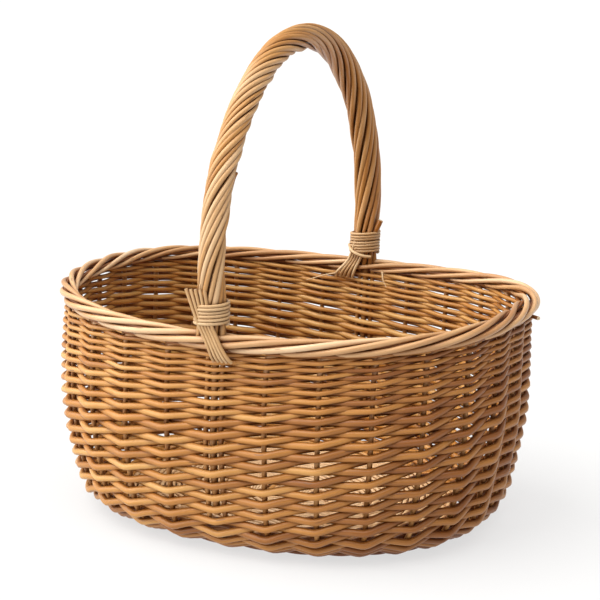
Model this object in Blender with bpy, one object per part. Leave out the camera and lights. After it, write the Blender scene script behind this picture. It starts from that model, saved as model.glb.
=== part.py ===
"""Oval woven market basket with a roped handle over its short axis.

Metres, +Z up. The origin is on the floor under the middle of the basket, +X runs along the long
axis of the oval and the handle stands across it. Every rod, weave band and binding is its
own closed solid. Solids that touch on the real basket keep a gap of GAP here.
"""

import math

import bmesh
import bpy
import numpy as np
from mathutils import Vector

# ---- Driving dimensions -------------------------------------------------------------------
GAP = 0.0003
WIDE_GAP = 4 * GAP            # beside faceted curves, whose flats stand out less than their corners
SMOOTH_BELOW = math.radians(50)

RIM_LENGTH = 0.420
RIM_WIDTH = 0.370
RIM_HEIGHT = 0.201
RIM_SADDLE = 0.005            # the rim's ends stand this much higher, its long sides lower
OUTLINE_POWER = 2.35          # 2 is an ellipse, more is squarer
OUTLINE_FACETS = 48

WALL_THICKNESS = 0.011
WALL_INSET = 0.003            # wall's outer face in from the border's outer edge
FLARE = 0.019                 # how far the wall leans in between FLARE_HEIGHT and the floor
FLARE_HEIGHT = 0.115
FLARE_POWER = 1.5             # more brings the lean closer to the floor
CORNER_REACH = 0.035          # rounding between the wall and the flat base
CORNER_HEIGHT = 0.032
CORNER_STEPS = 4
BAND_LEVELS = (0.0, 0.044, 0.078, 0.112, 0.1857)

STAKE_POSITIONS = 28
STAKE_RADIUS = 0.0023
STAKE_SIDES = 5
STAKE_IN_BASE = 0.025

SPOKES = 16                   # stick ends that fan out evenly round the base
LONG_STICKS = 3
LONG_STICK_RADIUS = 0.0020
LONG_STICK_SPACING = 0.0052
SHORT_STICKS = 5
SHORT_STICK_RADIUS = 0.0037
SHORT_STICK_SPACING = 0.022
SLIT_REACH = 0.056            # the long sticks lie side by side this far from the middle
STICK_END_INSET = 0.032       # sticks stop this far inside the edge of the base weave
STICK_SIDES = 8

BORDER_RADIUS = 0.0075        # of the whole rolled border
BORDER_ROD_RADIUS = 0.0036
BORDER_SPREAD = 0.0035        # the border rods part this much to let the handle bow through
BORDER_SPREAD_LENGTH = 0.018
BORDER_ROD_SIDES = 6

HANDLE_OFFSET = -0.004        # the handle stands this far along X from the middle of the rim
HANDLE_HALF_SPAN = 0.178      # at its feet
HANDLE_BULGE = 0.003          # the arch is this much wider on each side than its feet
HANDLE_KNEE = 0.218           # height where the legs start to lean out
HANDLE_SPRING = 0.245         # height where the straight legs turn into the arch
HANDLE_RISE = 0.179
BOW_RADIUS = 0.0058
BOW_RADIUS_IN_WALL = 0.0032
BOW_FOOT = 0.047
BOW_FOOT_LENGTH = 0.010       # the bow's tip stays straight for this much of its height
BOW_SHOULDER = 0.006          # the bow reaches its full thickness this far above the roping's foot
BOW_SIDES = 8
ARCH_STEPS = 25
ROPE_RODS = 12
ROPE_ROD_RADIUS = 0.0018
ROPE_PATH_RADIUS = 0.0090
ROPE_TURNS = 3.5
ROPE_EASING = 0.5             # 0 spirals evenly, more draws out the turns at the feet and the top
ROPE_FOOT = 0.1975
ROPE_SIDES = 5
ROPE_STEPS = 31

BINDING_TURNS = 6
BINDING_ROD_RADIUS = 0.0014
BINDING_FOOT = 0.2000
BINDING_SIDES = 16

TIE_WIDTH = 0.018
TIE_THICKNESS = 0.0022
TIE_TOP = 0.1990
TIE_BEND = 0.184              # from here down the band runs in against the wall
TIE_FRONT_FOOT = 0.170
TIE_BACK_FOOT = 0.168
TIE_FRONT_LEAN = 0.012        # along X, from the band's top to its foot
TIE_BACK_LEAN = -0.020

BASE_INSET = WALL_INSET + FLARE + CORNER_REACH
BASE_THICKNESS = WALL_THICKNESS

# ---- Materials ----------------------------------------------------------------------------


def willow(name, colour, roughness):
    material = bpy.data.materials.new(name)
    material.use_nodes = True
    shader = material.node_tree.nodes["Principled BSDF"]
    shader.inputs["Base Color"].default_value = (*colour, 1.0)
    shader.inputs["Roughness"].default_value = roughness
    shader.inputs["Metallic"].default_value = 0.0
    material.diffuse_color = (*colour, 1.0)
    return material


# ---- Mesh helpers -------------------------------------------------------------------------


def new_object(name, mesh, material):
    mesh.materials.append(material)
    mesh.shade_smooth()
    mesh.set_sharp_from_angle(angle=SMOOTH_BELOW)
    piece = bpy.data.objects.new(name, mesh)
    bpy.context.scene.collection.objects.link(piece)
    return piece


def mesh_from_rings(name, rings, closed_path):
    """Skin equal rings of points in order; an open path gets a flat cap at each end."""
    shape = bmesh.new()
    rows = [[shape.verts.new(point) for point in ring] for ring in rings]
    pairs = list(zip(rows, rows[1:]))
    if closed_path:
        pairs.append((rows[-1], rows[0]))
    for row, following in pairs:
        for i in range(len(row)):
            j = (i + 1) % len(row)
            shape.faces.new((row[i], row[j], following[j], following[i]))
    if not closed_path:
        shape.faces.new(rows[0])
        shape.faces.new(rows[-1])
    bmesh.ops.recalc_face_normals(shape, faces=shape.faces)
    mesh = bpy.data.meshes.new(name)
    shape.to_mesh(mesh)
    shape.free()
    return mesh


def joined_mesh(name, meshes):
    """Several closed meshes in one, for use as a single cutter."""
    shape = bmesh.new()
    for mesh in meshes:
        shape.from_mesh(mesh)
    mesh = bpy.data.meshes.new(name)
    shape.to_mesh(mesh)
    shape.free()
    return mesh


def round_section(centre, across, upward, radius, sides):
    """A regular polygon about centre in the plane of two unit vectors, radius to its corners."""
    ring = []
    for i in range(sides):
        angle = 2.0 * math.pi * (i + 0.5) / sides
        ring.append(centre + across * (radius * math.cos(angle)) + upward * (radius * math.sin(angle)))
    return ring


def along_path(points, i):
    """Unit direction of a line of points at point i."""
    return (points[min(i + 1, len(points) - 1)] - points[max(i - 1, 0)]).normalized()


def flat_rod(name, points, radii, across, sides):
    """A rod whose centre line lies in one plane, across being that plane's unit normal."""
    rings = []
    for i, point in enumerate(points):
        upward = along_path(points, i).cross(across).normalized()
        rings.append(round_section(point, across, upward, radii[i], sides))
    return mesh_from_rings(name, rings, closed_path=False)


def box_mesh(name, low, high):
    rings = []
    for x in (low[0], high[0]):
        corners = ((low[1], low[2]), (high[1], low[2]), (high[1], high[2]), (low[1], high[2]))
        rings.append([Vector((x, y, z)) for y, z in corners])
    return mesh_from_rings(name, rings, closed_path=False)


def make_cutter(name, meshes):
    cutter = bpy.data.objects.new(name, joined_mesh(name, meshes))
    bpy.context.scene.collection.objects.link(cutter)
    cutter.hide_render = True
    cutter.display_type = "WIRE"
    return cutter


def cut(piece, cutter):
    boolean = piece.modifiers.new("channels for " + cutter.name, "BOOLEAN")
    boolean.operation = "DIFFERENCE"
    boolean.solver = "EXACT"
    boolean.object = cutter


# ---- The oval and the wall's profile ------------------------------------------------------


def outline_table(steps=2880):
    """The border's centre line: place along it from 0 to 1, x, y and the outward normal."""
    angle = np.linspace(0.0, 2.0 * math.pi, steps + 1)
    cosine, sine = np.cos(angle), np.sin(angle)
    power = 2.0 / OUTLINE_POWER
    x = (RIM_LENGTH / 2 - BORDER_RADIUS) * np.sign(cosine) * np.abs(cosine) ** power
    y = (RIM_WIDTH / 2 - BORDER_RADIUS) * np.sign(sine) * np.abs(sine) ** power
    travelled = np.concatenate([[0.0], np.cumsum(np.hypot(np.diff(x), np.diff(y)))])
    place = travelled / travelled[-1]
    fine = np.linspace(0.0, 1.0, steps + 1)
    x, y = np.interp(fine, place, x), np.interp(fine, place, y)
    along_x = np.roll(x[:-1], -1) - np.roll(x[:-1], 1)
    along_y = np.roll(y[:-1], -1) - np.roll(y[:-1], 1)
    length = np.hypot(along_x, along_y)
    return x[:-1], y[:-1], along_y / length, -along_x / length, travelled[-1]


OUTLINE_X, OUTLINE_Y, NORMAL_X, NORMAL_Y, OUTLINE_LENGTH = outline_table()


def around(place):
    """Point on the border's centre line and the outward normal, place running from 0 to 1."""
    i = round(place * len(OUTLINE_X)) % len(OUTLINE_X)
    return Vector((OUTLINE_X[i], OUTLINE_Y[i], 0.0)), Vector((NORMAL_X[i], NORMAL_Y[i], 0.0))


def lift(place):
    return RIM_SADDLE * math.cos(4.0 * math.pi * place)


def at(place, inset, height):
    """A point given by its inset from the border's outer edge and its height on a level rim."""
    centre, normal = around(place)
    point = centre + normal * (BORDER_RADIUS - inset)
    point.z = height * (1.0 + lift(place) / RIM_HEIGHT)
    return point


def flare(height):
    return WALL_INSET + FLARE * max(0.0, 1.0 - height / FLARE_HEIGHT) ** FLARE_POWER


def wall_profile(low, high):
    """(inset, height) of the wall's outer face, from low to high."""
    if low < CORNER_HEIGHT:
        profile = []
        for i in range(CORNER_STEPS + 1):
            turn = 0.5 * math.pi * i / CORNER_STEPS
            height = CORNER_HEIGHT * (1.0 - math.cos(turn))
            profile.append((flare(height) + CORNER_REACH * (1.0 - math.sin(turn)), height))
    else:
        profile = [(flare(low), low)]
    bends = [level for level in BAND_LEVELS[1:-1] if low + GAP < level < high]
    profile += [(flare(level), level) for level in [*bends, high]]
    return profile


def moved_in(profile, distance):
    """The profile moved into the wall by a distance square to its face, its ends kept level."""
    moved = []
    last = len(profile) - 1
    for i, (inset, height) in enumerate(profile):
        before, after = profile[max(i - 1, 0)], profile[min(i + 1, last)]
        run, rise = after[0] - before[0], after[1] - before[1]
        length = math.hypot(run, rise)
        if i == last or (i == 0 and height > 0.0):
            moved.append((inset + distance * length / abs(rise), height))
        elif i == 0:
            moved.append((inset, height + distance))
        else:
            moved.append((inset + distance * rise / length, height - distance * run / length))
    return moved


# ---- Base ---------------------------------------------------------------------------------


def base_point(place, inset):
    """A point at mid-thickness of the base weave, inset from its edge."""
    point = at(place, BASE_INSET + GAP + inset, 0.0)
    point.z = BASE_THICKNESS / 2
    return point


def short_stick_points(index):
    """Across the base through the slit, leaning out from the middle to spread round the edge."""
    row = index - (SHORT_STICKS - 1) / 2
    place = 0.25 - row / SPOKES
    middle = Vector((SHORT_STICK_SPACING * row, 0.0, BASE_THICKNESS / 2))
    return [base_point(place, STICK_END_INSET), middle, base_point(-place % 1.0, STICK_END_INSET)]


def long_stick_points(index, overshoot):
    """Side by side through the slit, the outer two fanned out at both ends."""
    row = index - (LONG_STICKS - 1) // 2
    reach = RIM_LENGTH / 2 - BASE_INSET - STAKE_IN_BASE - WIDE_GAP + overshoot
    end = base_point(row / SPOKES % 1.0, STICK_END_INSET)
    if row == 0:
        end.x = reach
    inner = Vector((SLIT_REACH, LONG_STICK_SPACING * row, BASE_THICKNESS / 2))
    mirrored = [Vector((-point.x, point.y, point.z)) for point in (end, inner)]
    return [*mirrored, inner, end]


def level_rod(name, points, radius):
    return flat_rod(name, points, [radius] * len(points), Vector((0, 0, 1)), STICK_SIDES)


def slit_mesh():
    """The slit through the short sticks and the weave that the long sticks fill side by side."""
    half_width = LONG_STICK_SPACING * (LONG_STICKS - 1) / 2 + LONG_STICK_RADIUS + GAP
    half_height = LONG_STICK_RADIUS + GAP
    middle = BASE_THICKNESS / 2
    low = (-SLIT_REACH, -half_width, middle - half_height)
    high = (SLIT_REACH, half_width, middle + half_height)
    return box_mesh("slit", low, high)


def make_base_sticks(material):
    for i in range(LONG_STICKS):
        name = f"base_stick_long_{i + 1}"
        new_object(name, level_rod(name, long_stick_points(i, 0.0), LONG_STICK_RADIUS), material)
    slit = make_cutter("slit_cutter", [slit_mesh()])
    for i in range(SHORT_STICKS):
        name = f"base_stick_short_{i + 1}"
        stick = new_object(name, level_rod(name, short_stick_points(i), SHORT_STICK_RADIUS), material)
        cut(stick, slit)


def make_base_weave(material, stake_cutter):
    bottom, top = [], []
    for i in range(OUTLINE_FACETS):
        edge = base_point(i / OUTLINE_FACETS, 0.0)
        bottom.append(Vector((edge.x, edge.y, 0.0)))
        top.append(Vector((edge.x, edge.y, BASE_THICKNESS)))
    mesh = mesh_from_rings("base_weave", [bottom, top], closed_path=False)
    weave = new_object("base_weave", mesh, material)
    long_radius, short_radius = LONG_STICK_RADIUS + GAP, SHORT_STICK_RADIUS + GAP
    channels = {
        "slit": [slit_mesh()],
        "short_stick": [level_rod("channel", short_stick_points(i), short_radius)
                        for i in range(SHORT_STICKS)],
        "long_stick": [level_rod("channel", long_stick_points(i, WIDE_GAP), long_radius)
                       for i in range(LONG_STICKS)],
    }
    for name, meshes in channels.items():
        cut(weave, make_cutter(name + "_channel_cutter", meshes))
    cut(weave, stake_cutter)


# ---- Stakes and side weave ----------------------------------------------------------------


def stake_path(place):
    """From inside the base weave, out to its edge, and up the middle of the wall."""
    profile = moved_in(wall_profile(0.0, BAND_LEVELS[-1]), WALL_THICKNESS / 2)
    edge = profile[0]
    start = (edge[0] + STAKE_IN_BASE, edge[1])
    return [at(place, inset, height) for inset, height in [start, *profile]]


def stake_mesh(name, place, gap, overshoot):
    """One stake; a positive gap and overshoot make it the channel that the stake lies in."""
    points = stake_path(place)
    points[0] = points[0] + (points[0] - points[1]).normalized() * overshoot
    points[-1] = points[-1] + (points[-1] - points[-2]).normalized() * overshoot
    _, normal = around(place)
    across = Vector((-normal.y, normal.x, 0.0))
    radius = STAKE_RADIUS + gap
    return flat_rod(name, points, [radius] * len(points), across, STAKE_SIDES)


def stake_places():
    """Every position but the two at the middle of the long sides, which the handle takes."""
    quarter = STAKE_POSITIONS // 4
    return [i / STAKE_POSITIONS for i in range(STAKE_POSITIONS) if i % (2 * quarter) != quarter]


def make_stakes(material):
    for i, place in enumerate(stake_places()):
        name = f"stake_{i + 1:02d}"
        new_object(name, stake_mesh(name, place, 0.0, -GAP), material)


def band_section(low, high):
    outer = wall_profile(low, high)
    inner = moved_in(outer, WALL_THICKNESS)
    section = outer + inner[::-1]
    if low == 0.0:
        section[-1] = (BASE_INSET, BASE_THICKNESS)
    return section


def make_band(name, low, high, material, cutter):
    section = band_section(low, high)
    rings = []
    for i in range(OUTLINE_FACETS):
        place = i / OUTLINE_FACETS
        rings.append([at(place, inset, height) for inset, height in section])
    band = new_object(name, mesh_from_rings(name, rings, closed_path=True), material)
    cut(band, cutter)


# ---- Border -------------------------------------------------------------------------------


def border_spread(place):
    """How far the rods part at this place to pass on either side of the handle bow."""
    off = min(abs(place - 0.25), abs(place - 0.75)) * OUTLINE_LENGTH
    return BORDER_SPREAD * math.exp(-((off / BORDER_SPREAD_LENGTH) ** 2))


def make_border_rod(name, side, level, material):
    """One rod of the border: side is 1 outside and -1 inside, level is 1 above and -1 below."""
    offset = BORDER_ROD_RADIUS + GAP / 2
    rings = []
    for i in range(OUTLINE_FACETS):
        place = i / OUTLINE_FACETS
        centre, normal = around(place)
        centre = centre + normal * (side * (offset + border_spread(place)))
        centre.z = RIM_HEIGHT - BORDER_RADIUS + lift(place) + level * offset
        section = round_section(centre, normal, Vector((0, 0, 1)), BORDER_ROD_RADIUS, BORDER_ROD_SIDES)
        rings.append(section)
    new_object(name, mesh_from_rings(name, rings, closed_path=True), material)


def make_border(material):
    for side, side_name in ((1, "outer"), (-1, "inner")):
        for level, level_name in ((1, "upper"), (-1, "lower")):
            make_border_rod(f"border_rod_{side_name}_{level_name}", side, level, material)


# ---- Handle -------------------------------------------------------------------------------


def arch_point(turn):
    """Centre line of the arch above its straight legs, turn from 0 (front) to pi (back)."""
    y = -(HANDLE_HALF_SPAN + HANDLE_BULGE) * math.cos(turn)
    return Vector((HANDLE_OFFSET, y, HANDLE_SPRING + HANDLE_RISE * math.sin(turn)))


def even_points(points, count):
    """The same line with points evenly spaced along it."""
    lengths = [0.0]
    for first, second in zip(points, points[1:]):
        lengths.append(lengths[-1] + (second - first).length)
    table = np.array([list(point) for point in points])
    wanted = np.linspace(0.0, lengths[-1], count)
    columns = [np.interp(wanted, lengths, table[:, axis]) for axis in range(3)]
    return [Vector(row) for row in zip(*columns)]


def handle_line(foot, count, fine=400):
    """Even points along the handle above the border, from the front leg's foot to the back's."""
    front = [Vector((HANDLE_OFFSET, -HANDLE_HALF_SPAN, height)) for height in (foot, HANDLE_KNEE)]
    back = [Vector((HANDLE_OFFSET, HANDLE_HALF_SPAN, height)) for height in (HANDLE_KNEE, foot)]
    arch = [arch_point(math.pi * i / fine) for i in range(fine + 1)]
    return even_points([*front, *arch, *back], count)


def bow_foot_points(sign):
    """The bow's straight end in the wall, from its tip up to the border's top."""
    profile = moved_in(wall_profile(0.0, BAND_LEVELS[-1]), WALL_THICKNESS / 2)
    place = 0.25 if sign > 0 else 0.75
    first = (flare(BOW_FOOT) + WALL_THICKNESS / 2, BOW_FOOT)
    levels = [first] + [step for step in profile if step[1] > BOW_FOOT + BOW_FOOT_LENGTH]
    return [at(place, inset, height) for inset, height in levels]


def bow_mesh(name, gap, overshoot):
    front, back = bow_foot_points(-1), bow_foot_points(1)
    arch = handle_line(ROPE_FOOT + BOW_SHOULDER, ARCH_STEPS)
    neck = [Vector((HANDLE_OFFSET, end.y, ROPE_FOOT)) for end in (arch[0], arch[-1])]
    points = [*front, neck[0], *arch, neck[1], *back[::-1]]
    thin = BOW_RADIUS_IN_WALL + gap
    thick = BOW_RADIUS + gap
    radii = [thin] * (len(front) + 1) + [thick] * len(arch) + [thin] * (len(back) + 1)
    points[0] = points[0] - Vector((0.0, 0.0, overshoot))
    points[-1] = points[-1] - Vector((0.0, 0.0, overshoot))
    return flat_rod(name, points, radii, Vector((1, 0, 0)), BOW_SIDES)


def rope_rod_mesh(name, index):
    """One of the rods that spiral round the bow."""
    line = handle_line(ROPE_FOOT, ROPE_STEPS)
    side = Vector((1, 0, 0))
    centres = []
    for i, point in enumerate(line):
        outward = along_path(line, i).cross(side).normalized()
        part = i / (ROPE_STEPS - 1)
        turned = part - ROPE_EASING * math.sin(4.0 * math.pi * part) / (4.0 * math.pi)
        angle = 2.0 * math.pi * (index / ROPE_RODS + ROPE_TURNS * turned)
        offset = side * math.cos(angle) + outward * math.sin(angle)
        centres.append(point + offset * ROPE_PATH_RADIUS)
    rings = []
    for i, centre in enumerate(centres):
        along = along_path(centres, i)
        across = along.cross(centre - line[i]).normalized()
        rings.append(round_section(centre, across, across.cross(along), ROPE_ROD_RADIUS, ROPE_SIDES))
    return mesh_from_rings(name, rings, closed_path=False)


def make_roping(material):
    for i in range(ROPE_RODS):
        name = f"handle_rope_rod_{i + 1:02d}"
        new_object(name, rope_rod_mesh(name, i), material)


def make_binding(name, y, material):
    """A thin rod wound round the foot of the handle, its turns as ridges on one ring."""
    inner = ROPE_PATH_RADIUS + ROPE_ROD_RADIUS + 2 * GAP
    ridge = BINDING_ROD_RADIUS
    top = BINDING_FOOT + 2 * ridge * BINDING_TURNS
    section = [(inner, top), (inner, BINDING_FOOT)]
    for turn in range(BINDING_TURNS):
        low = BINDING_FOOT + 2 * ridge * turn
        section.append((inner + ridge, low))
        section.append((inner + 2 * ridge, low + ridge))
    section.append((inner + ridge, top))
    rings = []
    for i in range(BINDING_SIDES):
        angle = 2.0 * math.pi * i / BINDING_SIDES
        out = Vector((math.cos(angle), math.sin(angle), 0.0))
        rings.append([Vector((HANDLE_OFFSET, y, z)) + out * radius for radius, z in section])
    new_object(name, mesh_from_rings(name, rings, closed_path=True), material)


def make_tie(name, outline, leaning, material):
    """A band of tie rods over one side of the border; outline lists (y, z) down its middle."""
    rings = []
    last = len(outline) - 1
    for i, (y, z) in enumerate(outline):
        before, after = outline[max(i - 1, 0)], outline[min(i + 1, last)]
        along = Vector((0.0, after[0] - before[0], after[1] - before[1])).normalized()
        across = Vector((1, 0, 0))
        out = along.cross(across)
        centre = Vector((HANDLE_OFFSET + leaning * i / last, y, z))
        half_width, half_thick = TIE_WIDTH / 2, TIE_THICKNESS / 2
        corners = ((-1, -1), (1, -1), (1, 1), (-1, 1))
        rings.append([centre + across * (a * half_width) + out * (b * half_thick) for a, b in corners])
    new_object(name, mesh_from_rings(name, rings, closed_path=False), material)


def make_ties(material):
    """Front band outside the border, back band inside it, each from its binding to the wall."""
    border = RIM_WIDTH / 2 - BORDER_RADIUS
    clear = BORDER_RADIUS + BORDER_SPREAD + 2 * GAP + TIE_THICKNESS / 2
    wall_clear = WIDE_GAP + TIE_THICKNESS / 2
    outside = border + clear
    outer_face = RIM_WIDTH / 2 - WALL_INSET + wall_clear
    front = ((-outside, TIE_TOP), (-outside, TIE_BEND), (-outer_face, TIE_FRONT_FOOT))
    make_tie("handle_tie_front", front, TIE_FRONT_LEAN, material)
    inside = border - clear
    inner_face = RIM_WIDTH / 2 - WALL_INSET - WALL_THICKNESS - wall_clear
    back = ((inside, TIE_TOP), (inside, TIE_BEND), (inner_face, TIE_BACK_FOOT))
    make_tie("handle_tie_back", back, TIE_BACK_LEAN, material)


# ---- The basket ---------------------------------------------------------------------------


def clear_scene():
    for item in list(bpy.data.objects):
        bpy.data.objects.remove(item, do_unlink=True)


def build():
    clear_scene()
    weave = willow("willow_weave", (0.62, 0.37, 0.15), 0.45)
    stakes = willow("willow_stakes", (0.66, 0.42, 0.20), 0.45)
    border = willow("willow_border", (0.70, 0.47, 0.23), 0.40)
    handle = willow("willow_handle", (0.64, 0.40, 0.18), 0.40)
    skein = willow("willow_binding", (0.72, 0.50, 0.27), 0.40)

    channels = [stake_mesh("channel", place, GAP, 2 * GAP) for place in stake_places()]
    stake_cutter = make_cutter("stake_cutter", channels)
    upright_cutter = make_cutter("upright_cutter", [*channels, bow_mesh("bow_channel", GAP, GAP)])

    make_base_sticks(stakes)
    make_base_weave(weave, stake_cutter)
    make_stakes(stakes)
    names = ("upsett_wale", "side_weave_lower", "side_weave_middle", "side_weave_upper")
    for i, name in enumerate(names):
        low = BAND_LEVELS[i] + (GAP if i else 0.0)
        cutter = upright_cutter if i else stake_cutter
        make_band(name, low, BAND_LEVELS[i + 1], weave, cutter)
    make_border(border)

    new_object("handle_bow", bow_mesh("handle_bow", 0.0, 0.0), handle)
    make_roping(handle)
    make_binding("handle_binding_front", -HANDLE_HALF_SPAN, skein)
    make_binding("handle_binding_back", HANDLE_HALF_SPAN, skein)
    make_ties(skein)


build()
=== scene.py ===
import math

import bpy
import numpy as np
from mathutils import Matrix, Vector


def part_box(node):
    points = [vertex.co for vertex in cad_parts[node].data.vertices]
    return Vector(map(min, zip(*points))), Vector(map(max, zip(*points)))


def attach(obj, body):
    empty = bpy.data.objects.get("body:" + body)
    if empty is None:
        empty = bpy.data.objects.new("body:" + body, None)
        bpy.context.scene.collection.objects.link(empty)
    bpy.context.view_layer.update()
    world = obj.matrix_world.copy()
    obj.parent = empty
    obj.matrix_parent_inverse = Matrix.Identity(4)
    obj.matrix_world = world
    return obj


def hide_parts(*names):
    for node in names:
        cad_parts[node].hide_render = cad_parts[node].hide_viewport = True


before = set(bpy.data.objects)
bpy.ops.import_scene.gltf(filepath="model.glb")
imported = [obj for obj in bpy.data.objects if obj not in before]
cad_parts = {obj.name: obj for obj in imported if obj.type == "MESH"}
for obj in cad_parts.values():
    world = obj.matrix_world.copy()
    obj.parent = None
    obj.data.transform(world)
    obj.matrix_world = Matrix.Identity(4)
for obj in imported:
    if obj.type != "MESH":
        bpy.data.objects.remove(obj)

# Looks of the oval willow basket, rod by rod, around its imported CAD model.
#
# Metres, +Z up, +X along the oval, the handle across it just off the YZ plane. Two coordinates
# follow the wall: u counts stake spacings round the rim, from 0 at +X, through 7 at +Y, to 28, so
# that it grows to the right as seen from outside. q is the distance up the wall's middle surface
# from the edge of the base. Depth is how far a rod stands out of that surface. A table is a row of
# pairs, a place and the value there, and read() looks a value up in it.

RANDOM = np.random.default_rng(2817)
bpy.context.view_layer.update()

# ---- Sizes that come from the frame ---------------------------------------------------------
WALL_LOW, WALL_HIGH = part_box("side_weave_upper")
BINDING_LOW, BINDING_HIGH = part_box("handle_binding_front")
BOW_LOW, BOW_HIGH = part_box("handle_bow")

WALL_INSET = 0.003            # wall's outer face in from the border's outer edge
RIM_LENGTH = WALL_HIGH.x - WALL_LOW.x + 2 * WALL_INSET
RIM_WIDTH = WALL_HIGH.y - WALL_LOW.y + 2 * WALL_INSET
HANDLE_HALF_SPAN = -(BINDING_LOW.y + BINDING_HIGH.y) / 2
HANDLE_OFFSET = (BINDING_LOW.x + BINDING_HIGH.x) / 2
BINDING_BOTTOM = BINDING_LOW.z
BOW_RADIUS = 0.0058
HANDLE_SETTLE = 0.003         # the real arch stands this much lower than the bow solid
HANDLE_TOP = BOW_HIGH.z - BOW_RADIUS - HANDLE_SETTLE

# ---- The wall -------------------------------------------------------------------------------
STAKES = 28
HANDLE_STAKES = (7, 21)       # stake positions that the handle takes, back and front
RIM_HEIGHT = 0.201
RIM_SADDLE = 0.005            # the rim's ends stand this much higher, its long sides lower
OUTLINE_POWER = 2.35          # 2 is an ellipse, more is squarer
FLARE = 0.019                 # how far the wall leans in between FLARE_HEIGHT and the floor
FLARE_HEIGHT = 0.115
FLARE_POWER = 1.5
CORNER_REACH = 0.035          # rounding between the wall and the flat base
CORNER_HEIGHT = 0.032
BASE_ROUNDING = 0.004         # the base is this much rounder in plan than the rim
BASE_ROUNDING_HEIGHT = 0.070
WALL_SWAY = -0.0015           # the wall's middle stands this far off along X
WALL_TOP = 0.1857
MID_DEPTH = 0.0066            # middle surface in from the wall's outer face
STAKE_RADIUS = 0.0022
STAKE_IN_BASE = 0.025
STAKE_STEPS = 60

# By q: the pitch of the rows of front strokes, and a weaver's radius as a share of that pitch.
ROW_PITCHES = ((0.006, 0.0064), (0.024, 0.0070), (0.038, 0.0112), (0.120, 0.0112), (0.186, 0.0060))
RAND_FILLS = ((0.020, 0.350), (0.038, 0.276), (0.110, 0.282), (0.150, 0.312), (0.186, 0.325))
TOP_ROW_Q = 0.2035
RAND_ROWS = 22
RAND_UNREST = ((0.0, 0.3), (0.5, 1.0), (RAND_ROWS, 0.45))   # by row, how unevenly the rods lie
RAND_DIP_FROM = 0.02          # q; how far a front stroke dips at its stake, from here up to the rim
RAND_DIPS = (0.0021, 0.0006)
RAND_DIP_POWER = 2.4          # more keeps the dip closer to the stake
RAND_SHARPNESS = 0.965        # 0 waves softly round the stakes, 1 bends at a point
RAND_PRESS = 0.0003           # the weavers press this far into the stakes
RAND_SIDES = 10
RAND_STEPS = 12               # points per stake spacing
# Painted shade on the weavers: how much paler or darker they are painted by u round the wall and
# by q up it, darkest at the +X end and in the lowest rows.
PAINTED_SHADE_AROUND = ((0.0, -0.60), (2.0, -0.35), (4.0, 0.25), (7.0, 0.50), (12.0, 0.50), (16.0, 0.25),
               (19.0, 0.10), (21.0, -0.05), (23.0, -0.35), (25.0, -0.75), (27.0, -0.75))
PAINTED_SHADE_UP = ((0.0, -0.35), (0.06, 0.0))

WALE_RODS = 3
WALE_ROUNDS = 1
WALE_ROD_RADIUS = 0.0021
WALE_DEPTH = 0.0038
WALE_OUTWARD = 0.0006
WALE_RISE = 0.0019
WALE_Q = (0.0, 0.0055)

# ---- The border -----------------------------------------------------------------------------
BORDER_RADIUS = 0.0075
BORDER_ROD_RADIUS = 0.00248
BORDER_PATH_RADIUS = 0.0053
BORDER_CORE_RADIUS = 0.0019
# Where the rods of its core lie: degrees round its centre line, and distance from it.
BORDER_CORE = ((20.0, 0.0020), (160.0, 0.0020), (250.0, 0.0040), (280.0, 0.0062))
BORDER_CORE_STEPS = 400
BORDER_START = 0.36           # spacings from the stake to where its top lies along the rim
BORDER_SPACINGS = 4.9         # how far along the rim a rod runs before it ends inside
BORDER_STEPS = 48
BORDER_TUCK = 0.0016          # how far its tip is pushed in under the others
BORDER_TUCK_FROM = 0.86       # the share of its run where that begins
BORDER_TAPER_FROM = 0.6
BORDER_TIP = 0.62             # its tip's thickness as a share of the rest
BORDER_RISE = (0.018, 0.007)  # it leaves the wall between these distances under the wall's top
BORDER_BEND = (0.006, 0.007)  # how softly it turns into the rim
BORDER_BEND_STEPS = 10
BORDER_FIRST_TURN = math.radians(-80)
BORDER_LAST_TURN = math.radians(240)
END_SPREAD = 0.0030           # the border opens this much, inwards, round the oval's ends
END_SPREAD_STAKES = 1.9
BORDER_SPREAD = 0.0032        # the border widens this much round each foot of the handle
BORDER_SPREAD_STAKES = 0.42

# ---- The base -------------------------------------------------------------------------------
SPOKES = 16
LONG_STICKS = 3
LONG_STICK_RADIUS = 0.0020
LONG_STICK_SPACING = 0.0052
SHORT_STICKS = 5
SHORT_STICK_RADIUS = 0.0037
SHORT_STICK_SPACING = 0.022
SLIT_REACH = 0.056
STICK_END_INSET = 0.032
SLATH_REACH = 0.012           # the weave starts this far beyond the last short stick
SLATH_SIDE = 0.0055           # and this far beside the long ones
BASE_INSET = WALL_INSET + FLARE + CORNER_REACH
BASE_MIDDLE = 0.0063
BASE_ROWS = 19
BASE_STEPS = 8                # points per spoke
BASE_OUT = (0.04, 0.945)      # where the weave starts, and how far it runs, as shares of a spoke
BASE_TWINE = 0.011            # how far its rods swing in and out, as a share of a spoke
BASE_ROD_RADIUS = 0.0021
BASE_DEPTH = 0.0041
LAP_ROD_RADIUS = 0.0013       # thin rods lap the long sticks between the short ones
LAP_TURNS = 5
LAP_SIDE = 0.0088
LAP_DEPTH = 0.0036
LAP_STEPS = 16
LAP_CLEAR = 2.05              # the turns' pitch, in radii of the rod

# ---- The handle -----------------------------------------------------------------------------
HANDLE_BULGE = 0.003          # the arch is this much wider on each side than its feet
HANDLE_KNEE = 0.218           # height where the legs start to lean out
HANDLE_SPRING = 0.245         # height where they turn into the arch
ROPE_RODS = 12
ROPE_ROD_RADIUS = 0.0022
ROPE_PATH_RADIUS = 0.0088
ROPE_STEPS = 150
ROPE_TURNS = 3.3
ROPE_FOOT = 0.190
BACK_SWELL = 1.20             # the roping is this much thicker on the back leg
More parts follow.
